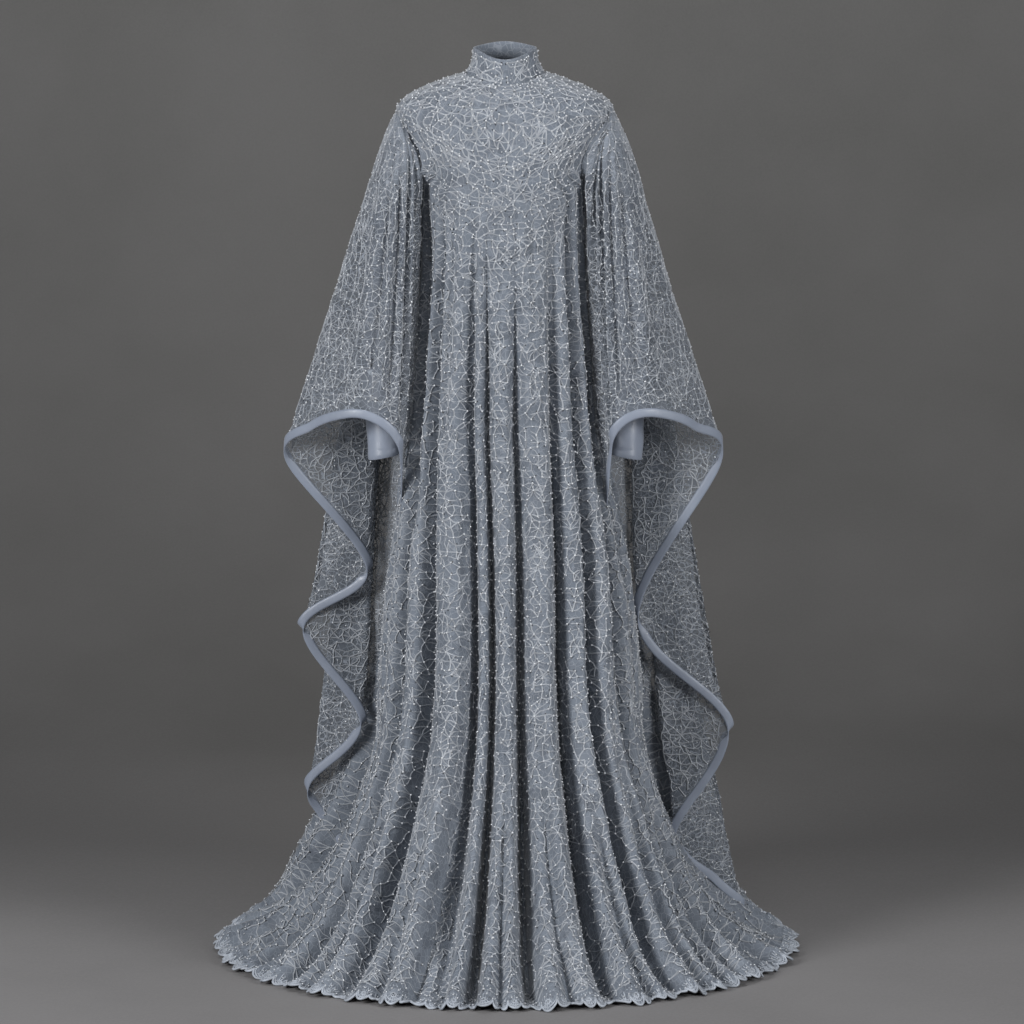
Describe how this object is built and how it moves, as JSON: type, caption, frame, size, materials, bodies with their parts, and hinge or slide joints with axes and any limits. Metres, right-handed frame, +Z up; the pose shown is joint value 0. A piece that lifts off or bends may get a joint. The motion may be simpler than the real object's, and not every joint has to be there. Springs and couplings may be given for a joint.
{
  "type": "butterfly kaftan gown",
  "caption": "Floor-length butterfly kaftan, worn and hollow, with stand collar, fitted under-sleeves, wide bound wing sleeves in folds, flared skirt and scalloped lace hem.",
  "frame": {"origin": "middle of the shoulder line, between the two shoulders, where the wearer holds the garment up", "axes": "+Z up along the wearer, the front faces -Y, +X is the wearer's left, which is the viewer's right"},
  "size_m": [1.0232, 1.0252, 1.5943],
  "materials": {
    "embroidered_crepe": "slate blue crepe under an all-over net of pale raised thread with small pearl beads",
    "embroidered_tulle": "sheer slate blue tulle with the same net of pale thread and beads",
    "satin": "smooth slate blue satin",
    "hem_lace": "corded scalloped lace with eyelets"
  },
  "bodies": {
    "root": {"front": "embroidered_crepe", "back": "embroidered_crepe", "collar": "embroidered_crepe", "wing_front_left": "embroidered_tulle", "wing_back_left": "embroidered_tulle", "binding_left": "satin", "under_sleeve_left": "satin", "wing_front_right": "embroidered_tulle", "wing_back_right": "embroidered_tulle", "binding_right": "satin", "under_sleeve_right": "satin", "hem_lace_front": "hem_lace", "hem_lace_back": "hem_lace"}
  },
  "joints": []
}
